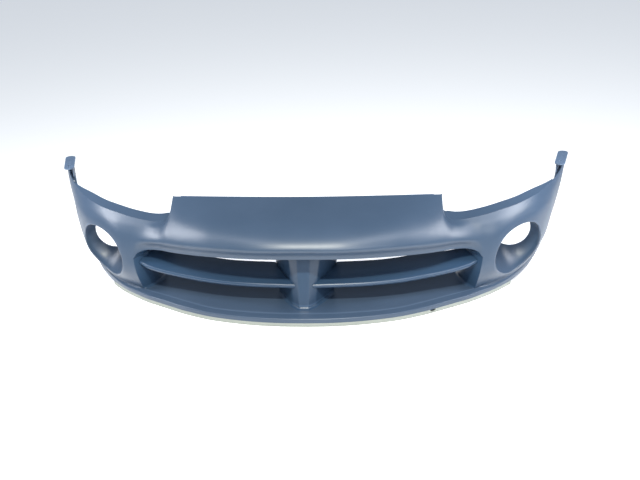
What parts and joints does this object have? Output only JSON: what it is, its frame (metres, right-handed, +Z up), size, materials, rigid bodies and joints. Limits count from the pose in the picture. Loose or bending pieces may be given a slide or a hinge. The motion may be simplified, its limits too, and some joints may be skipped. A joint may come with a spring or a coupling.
{
  "type": "front bumper cover",
  "caption": "Front bumper cover for a low sports car, with a wide twin mouth split by a center post, thin crossbars, round fog-lamp tunnels and fender end brackets.",
  "frame": {"origin": "under the middle of the cover's overall box, on the surface it stands on", "axes": "+X towards the cover's left-hand side as seen from the car (right in a front view), -Y the way the nose points, +Z up"},
  "size_m": [1.863, 0.6524, 0.375],
  "materials": {
    "primed_skin": "satin blue-grey primer",
    "primed_duct": "satin blue-grey primer",
    "primed_bracket": "matte blue-grey primer",
    "pale_rubber": "matte",
    "zinc_steel": "zinc plated"
  },
  "bodies": {
    "root": {"bumper_skin": "primed_skin", "headlamp_ledge_left": "primed_skin", "headlamp_ledge_right": "primed_skin", "scoop_floor": "primed_duct", "scoop_wall_left": "primed_duct", "scoop_wall_right": "primed_duct", "crossbar_left": "primed_duct", "crossbar_right": "primed_duct", "center_post": "primed_duct", "fog_tunnel_left": "primed_duct", "fog_tunnel_right": "primed_duct", "fog_lamp_ring_left": "primed_bracket", "fog_lamp_ring_right": "primed_bracket", "lip_strip": "pale_rubber", "fender_bracket_left": "primed_skin", "fender_bracket_right": "primed_skin", "arch_flange_left": "primed_skin", "arch_flange_right": "primed_skin", "hood_edge_flange": "primed_bracket", "center_stay": "zinc_steel", "fog_clip_nuts": "zinc_steel", "hood_clip_nuts": "zinc_steel"}
  },
  "joints": []
}
